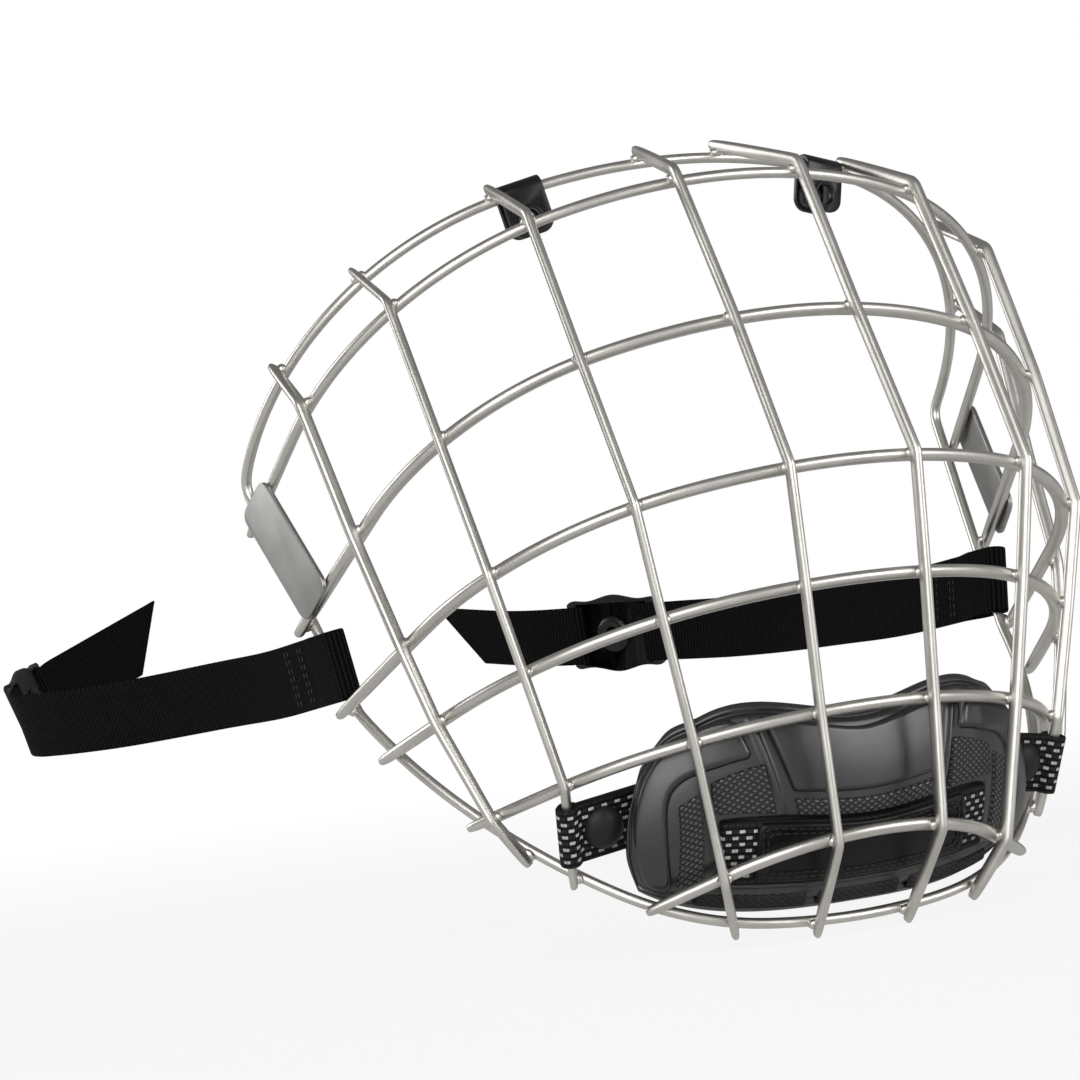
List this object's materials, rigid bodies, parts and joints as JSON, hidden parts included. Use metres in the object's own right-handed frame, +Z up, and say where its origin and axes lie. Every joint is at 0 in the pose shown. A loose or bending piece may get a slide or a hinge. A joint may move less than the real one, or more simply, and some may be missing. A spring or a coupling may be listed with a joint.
{
  "type": "ice hockey full face cage mask",
  "caption": "Wire cage face mask for a player's ice hockey helmet, with a moulded chin cup, swinging helmet clips and webbing side straps with snap buckles.",
  "frame": {"origin": "midway between the centres of the two helmet clip screw holes, on the mirror plane", "axes": "-Y towards the front of the mask, +Y towards the wearer and along the straps, +X to the wearer's left, +Z up"},
  "size_m": [0.2674, 0.3876, 0.2259],
  "materials": {
    "wire": "satin",
    "ear_plate": "satin",
    "clip_coating": "satin",
    "strap_webbing": "woven",
    "buckle_plastic": "satin",
    "snap_metal": "satin",
    "chin_foam": "satin moulded skin",
    "grip_rubber": "raised diamonds",
    "liner_foam": "matt",
    "chin_webbing": "woven with pale flecks",
    "patch": "sewn edge",
    "snap_rubber": "matt"
  },
  "bodies": {
    "cage": {"frame_wire": "wire", "brow_wire": "wire", "cross_wire_1": "wire", "cross_wire_2": "wire", "cross_wire_3": "wire", "cross_wire_4": "wire", "cross_wire_5": "wire", "bar_inner_left": "wire", "bar_inner_right": "wire", "bar_second_left": "wire", "bar_second_right": "wire", "bar_third_left": "wire", "bar_third_right": "wire", "bar_outer_left": "wire", "bar_outer_right": "wire", "ear_plate_left": "ear_plate", "ear_plate_right": "ear_plate"},
    "clip_left": {"helmet_clip_left": "clip_coating"},
    "clip_right": {"helmet_clip_right": "clip_coating"},
    "strap_left": {"side_strap_left": "strap_webbing", "buckle_left": "buckle_plastic", "snap_left": "snap_metal"},
    "strap_right": {"side_strap_right": "strap_webbing", "buckle_right": "buckle_plastic", "snap_right": "snap_metal"},
    "chin": {"chin_shell": "chin_foam", "chin_liner": "liner_foam", "chin_panel_centre": "chin_foam", "chin_grip_centre": "grip_rubber", "chin_wing_left": "chin_foam", "chin_wing_right": "chin_foam", "chin_grip_left": "grip_rubber", "chin_grip_right": "grip_rubber", "chin_end_panel_left": "chin_foam", "chin_end_panel_right": "chin_foam", "chin_band": "chin_webbing", "chin_patch": "patch", "chin_tab_left": "chin_webbing", "chin_tab_right": "chin_webbing", "snap_cover_left": "snap_rubber", "snap_cover_right": "snap_rubber"}
  },
  "joints": [
    {"name": "clip_left_swing", "type": "hinge", "parent": "cage", "child": "clip_left", "pos_m": [0.04931, 0.00279, 0.00791], "axis": [0.9585, 0.1832, -0.2183], "range_deg": [-70, 80]},
    {"name": "strap_left_swing", "type": "hinge", "parent": "cage", "child": "strap_left", "pos_m": [0.10948, 0.03257, -0.1189], "axis": [0.1188, 0.5041, 0.8554], "range_deg": [-24, 20]},
    {"name": "clip_right_swing", "type": "hinge", "parent": "cage", "child": "clip_right", "pos_m": [-0.04931, 0.00279, 0.00791], "axis": [0.9585, -0.1832, 0.2183], "range_deg": [-70, 80]},
    {"name": "strap_right_swing", "type": "hinge", "parent": "cage", "child": "strap_right", "pos_m": [-0.10948, 0.03257, -0.1189], "axis": [-0.1188, 0.5041, 0.8554], "range_deg": [-20, 24]},
    {"name": "chin_cup_rock", "type": "hinge", "parent": "cage", "child": "chin", "pos_m": [0, -0.03627, -0.17071], "axis": [1, 0, 0], "range_deg": [-3, 3]}
  ]
}
